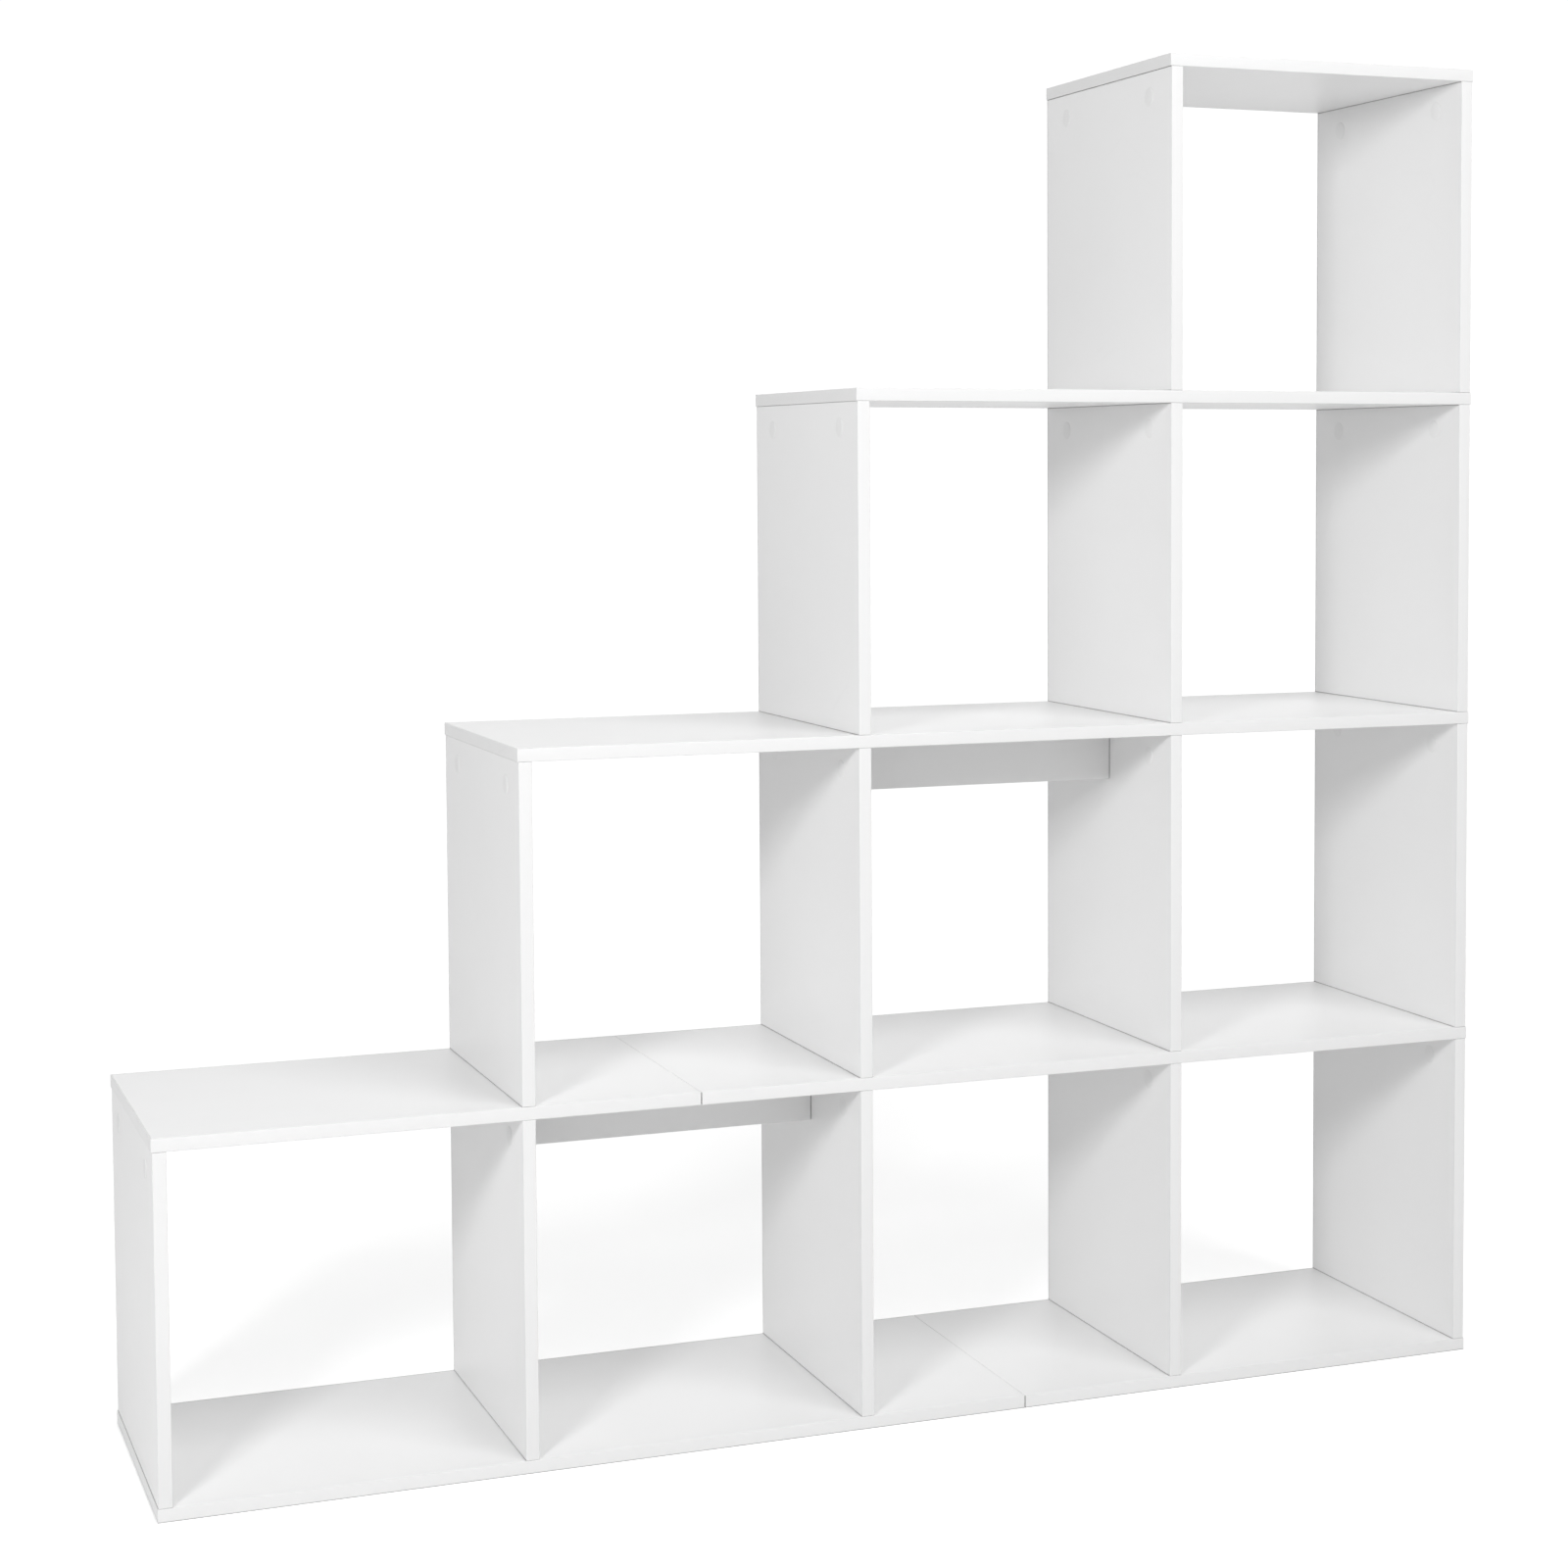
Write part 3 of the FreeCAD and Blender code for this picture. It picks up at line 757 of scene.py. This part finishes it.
class MakeCovers(bpy.types.Operator):
    """Round covers over the cam locks."""
    bl_idname = "bookshelf.make_covers"
    bl_label = "Cam covers"

    def execute(self, context):
        colour = context.scene.shelf_finish.cover_colour
        finish = melamine("cover_film", colour, offset=(7.7, 0.9, 3.7), pebbles=700.0,
                          dullest=0.62, glossiest=0.5, scuffs=0.01, painted_shade_darkest=0.9)
        places, thickness = boxes_along("cam_covers", 0)
        points, *faces = cover_form(thickness[0], context.scene.shelf_sizes.cover_radius)
        points = laid_along_x(points) + (thickness[0], 0, 0)
        make_piece("round_cam_covers", *repeated(points, faces, places), finish, "cover_film", ["cam_covers"])
        return {"FINISHED"}


class MakeCams(bpy.types.Operator):
    """Cam locks in the pockets of the uprights."""
    bl_idname = "bookshelf.make_cams"
    bl_label = "Cam locks"

    def execute(self, context):
        colour = context.scene.shelf_finish.cam_colour
        finish = cast_metal("cam_metal", colour, roughness=0.42, grain=3000.0)
        places, length = boxes_along("cam_locks", 0)
        points, *faces = cam_form(length[0], context.scene.shelf_sizes)
        make_piece("round_cam_locks", *repeated(laid_along_x(points), faces, places), finish, "cam_metal",
                   ["cam_locks"])
        return {"FINISHED"}


class MakeBolts(bpy.types.Operator):
    """Cam bolts, short and long, with their threads."""
    bl_idname = "bookshelf.make_bolts"
    bl_label = "Cam bolts"

    def execute(self, context):
        colour = context.scene.shelf_finish.bolt_colour
        finish = cast_metal("bolt_steel", colour, roughness=0.3, grain=4000.0)
        for node in BOLTS:
            places, length = boxes_along(node, 2)
            points, *faces = bolt_form(length[0], context.scene.shelf_sizes)
            make_piece("threaded_" + node, *repeated(points, faces, places), finish, "bolt_steel", [node])
        return {"FINISHED"}


class MakeScrews(bpy.types.Operator):
    """Countersunk screws under the bottom boards."""
    bl_idname = "bookshelf.make_screws"
    bl_label = "Foot screws"

    def execute(self, context):
        colour = context.scene.shelf_finish.bolt_colour
        finish = cast_metal("screw_steel", colour, roughness=0.34, grain=4000.0)
        places, length = boxes_along("foot_screws", 2)
        points, *faces = screw_form(length[0], context.scene.shelf_sizes)
        make_piece("threaded_foot_screws", *repeated(points, faces, places), finish, "screw_steel",
                   ["foot_screws"])
        return {"FINISHED"}


class MakeDowels(bpy.types.Operator):
    """Fluted wooden dowels in the joints."""
    bl_idname = "bookshelf.make_dowels"
    bl_label = "Dowels"

    def execute(self, context):
        finish = turned_wood("dowel_wood", context.scene.shelf_finish.dowel_colour)
        for node in DOWELS:
            low, high = solid_boxes(node)
            axis = int(np.argmax((high - low)[0]))
            places, length = boxes_along(node, axis)
            points, *faces = dowel_form(length[0], context.scene.shelf_sizes)
            points = points if axis == 2 else laid_along_x(points)
            make_piece("fluted_" + node, *repeated(points, faces, places), finish, "dowel_wood", [node])
        return {"FINISHED"}


def floor_material(glow_strength):
    """A white floor: to the camera it takes the unit's shadow near it, deepened by painted shade along the
    unit's edges, and is plain white further off.

    The light that it throws back on the unit is that of a greyer floor.
    """
    material, tree, shader, place = new_material("studio_floor")
    shader.inputs["Roughness"].default_value = 0.9
    shader.inputs["Specular IOR Level"].default_value = 0.1
    shader.inputs["Base Color"].default_value = (0.88, 0.88, 0.88, 1)
    bounce = tree.nodes.new("ShaderNodeBsdfDiffuse")
    bounce.inputs["Color"].default_value = (0.8, 0.8, 0.8, 1)
    shadows_end, plain_from, painted_contact_shade_reach = 1.0, 2.4, 0.012
    path = tree.nodes.new("ShaderNodeLightPath")
    seen = combine(tree, "MAXIMUM", path.outputs["Is Camera Ray"], path.outputs["Is Glossy Ray"])
    length = tree.nodes.new("ShaderNodeVectorMath")
    length.operation = "LENGTH"
    tree.links.new(place, length.inputs[0])
    far = spread(tree, length.outputs["Value"], (shadows_end, plain_from), (0.0, 1.0))
    glow = tree.nodes.new("ShaderNodeEmission")
    lines = placed_group(tree, GROUPS["joint_lines"], Reach=painted_contact_shade_reach, Darkest=0.0)
    # The glow that keeps the floor white is cut by painted shade where the floor meets the unit.
    tree.links.new(combine(tree, "MULTIPLY", lines.outputs["Light"], glow_strength), glow.inputs["Strength"])
    lit = tree.nodes.new("ShaderNodeAddShader")
    tree.links.new(shader.outputs["BSDF"], lit.inputs[0])
    tree.links.new(glow.outputs["Emission"], lit.inputs[1])
    white = tree.nodes.new("ShaderNodeEmission")
    white.inputs["Strength"].default_value = PLAIN_WHITE
    near_mix = tree.nodes.new("ShaderNodeMixShader")
    tree.links.new(far, near_mix.inputs["Fac"])
    tree.links.new(lit.outputs["Shader"], near_mix.inputs[1])
    tree.links.new(white.outputs["Emission"], near_mix.inputs[2])
    mix = tree.nodes.new("ShaderNodeMixShader")
    tree.links.new(seen, mix.inputs["Fac"])
    tree.links.new(bounce.outputs["BSDF"], mix.inputs[1])
    tree.links.new(near_mix.outputs["Shader"], mix.inputs[2])
    tree.links.new(mix.outputs["Shader"], tree.nodes["Material Output"].inputs["Surface"])
    return material


def make_floor(side, glow):
    """A square floor at height 0: a flat grid of four by four quads."""
    cells = 4
    corners = cells + 1
    steps = np.linspace(-side / 2, side / 2, corners)
    x, y = np.meshgrid(steps, steps, indexing="ij")
    points = np.stack([x, y, np.zeros_like(x)], axis=-1).reshape(-1, 3)
    first = (np.arange(cells)[:, None] * corners + np.arange(cells)[None, :]).reshape(-1, 1)
    quads = first + np.array([[0, corners, corners + 1, 1]])
    mesh = bpy.data.meshes.new("studio_floor")
    mesh.from_pydata(points.tolist(), [], quads.tolist())
    mesh.materials.append(floor_material(glow))
    floor = bpy.data.objects.new("studio_floor", mesh)
    bpy.context.scene.collection.objects.link(floor)


def make_room(strength):
    """A white room: plain white where it is seen.

    As a light it is dimmer overhead and to the left, and brighter behind the unit.
    """
    world = bpy.data.worlds.new("white_room")
    bpy.context.scene.world = world
    world.use_nodes = True
    tree = world.node_tree
    tree.nodes.clear()
    light, white = tree.nodes.new("ShaderNodeBackground"), tree.nodes.new("ShaderNodeBackground")
    direction, parts = tree.nodes.new("ShaderNodeTexCoord"), tree.nodes.new("ShaderNodeSeparateXYZ")
    tree.links.new(direction.outputs["Generated"], parts.inputs["Vector"])
    at_the_side, overhead, far_left, behind = 1.15, 0.5, 0.50, 1.45
    by_height = spread(tree, parts.outputs["Z"], (0.0, 1.0), (at_the_side, overhead))
    by_side = spread(tree, parts.outputs["X"], (-1.0, -0.2), (far_left, 1.0))
    by_depth = spread(tree, parts.outputs["Y"], (0.0, 0.6), (1.0, behind))
    shape = combine(tree, "MULTIPLY", combine(tree, "MULTIPLY", by_height, by_side), by_depth)
    tree.links.new(combine(tree, "MULTIPLY", shape, strength), light.inputs["Strength"])
    light.inputs["Color"].default_value = (1, 1, 1, 1)
    white.inputs["Color"].default_value = (1, 1, 1, 1)
    white.inputs["Strength"].default_value = PLAIN_WHITE
    path = tree.nodes.new("ShaderNodeLightPath")
    seen = combine(tree, "MAXIMUM", path.outputs["Is Camera Ray"], path.outputs["Is Glossy Ray"])
    seen = combine(tree, "MAXIMUM", seen, path.outputs["Is Transmission Ray"])
    mix = tree.nodes.new("ShaderNodeMixShader")
    end = tree.nodes.new("ShaderNodeOutputWorld")
    tree.links.new(seen, mix.inputs["Fac"])
    tree.links.new(light.outputs["Background"], mix.inputs[1])
    tree.links.new(white.outputs["Background"], mix.inputs[2])
    tree.links.new(mix.outputs["Shader"], end.inputs["Surface"])


def make_lamp(name, place, power, size):
    """A square lamp, aimed at the middle of the unit."""
    light = bpy.data.lights.new(name, "AREA")
    light.energy = power
    light.size = size
    lamp = bpy.data.objects.new(name, light)
    bpy.context.scene.collection.objects.link(lamp)
    place = Vector(place)
    aim = Vector((cad_box[0] + cad_box[1]) / 2) - place
    lamp.matrix_world = Matrix.Translation(place) @ aim.to_track_quat("-Z", "Y").to_matrix().to_4x4()


def make_camera(studio):
    """The camera, from its place and the directions of its view and of the picture's right side."""
    data = bpy.data.cameras.new("photo_camera")
    data.sensor_width = 36
    data.lens = studio.lens
    data.shift_x = studio.shift_across
    data.shift_y = studio.shift_up
    data.clip_start, data.clip_end = 0.05, 60
    camera = bpy.data.objects.new("photo_camera", data)
    bpy.context.scene.collection.objects.link(camera)
    back = -Vector(studio.camera_forward).normalized()
    right = Vector(studio.camera_right)
    right = (right - back * right.dot(back)).normalized()
    up = back.cross(right)
    turn = Matrix((right, up, back)).transposed().to_4x4()
    camera.matrix_world = Matrix.Translation(Vector(studio.camera_place)) @ turn
    bpy.context.scene.camera = camera


class MakeStudio(bpy.types.Operator):
    """Studio: floor, white room, key and fill lamps, and camera."""
    bl_idname = "bookshelf.make_studio"
    bl_label = "Studio"

    def execute(self, context):
        studio = context.scene.shelf_studio
        make_floor(studio.floor_size, studio.floor_glow)
        make_room(studio.sky_strength)
        make_lamp("key_light", studio.key_place, studio.key_power, studio.key_size)
        make_lamp("fill_light", studio.fill_place, studio.fill_power, studio.fill_size)
        make_camera(studio)
        context.scene.view_settings.view_transform = "Standard"
        return {"FINISHED"}


PIECES = (DressBoards, DressUprights, DressRails, MakeBands, MakeCovers, MakeCams, MakeBolts, MakeScrews,
          MakeDowels, MakeStudio)


class ShelfPanel(bpy.types.Panel):
    """Lists the pieces and their sizes in the sidebar."""
    bl_idname = "VIEW3D_PT_bookshelf"
    bl_label = "Bookshelf"
    bl_space_type = "VIEW_3D"
    bl_region_type = "UI"
    bl_category = "Bookshelf"

    def draw(self, context):
        for piece in PIECES:
            self.layout.operator(piece.bl_idname)
        for group in (context.scene.shelf_sizes, context.scene.shelf_finish, context.scene.shelf_studio):
            box = self.layout.box()
            for name in group.__annotations__:
                box.prop(group, name)


CLASSES = (ShelfSizes, ShelfFinish, ShelfStudio, *PIECES, ShelfPanel)


def register():
    for cls in CLASSES:
        bpy.utils.register_class(cls)
    bpy.types.Scene.shelf_sizes = PointerProperty(type=ShelfSizes)
    bpy.types.Scene.shelf_finish = PointerProperty(type=ShelfFinish)
    bpy.types.Scene.shelf_studio = PointerProperty(type=ShelfStudio)


def unregister():
    del bpy.types.Scene.shelf_studio
    del bpy.types.Scene.shelf_finish
    del bpy.types.Scene.shelf_sizes
    for cls in reversed(CLASSES):
        bpy.utils.unregister_class(cls)


def main():
    """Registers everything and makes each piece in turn."""
    register()
    GROUPS["pressed_skin"] = pressed_skin_group()
    GROUPS["handling"] = handling_group()
    GROUPS["joint_lines"] = joint_lines_group()
    for piece in PIECES:
        area, verb = piece.bl_idname.split(".")
        getattr(getattr(bpy.ops, area), verb)()


if __name__ == "__main__":
    main()
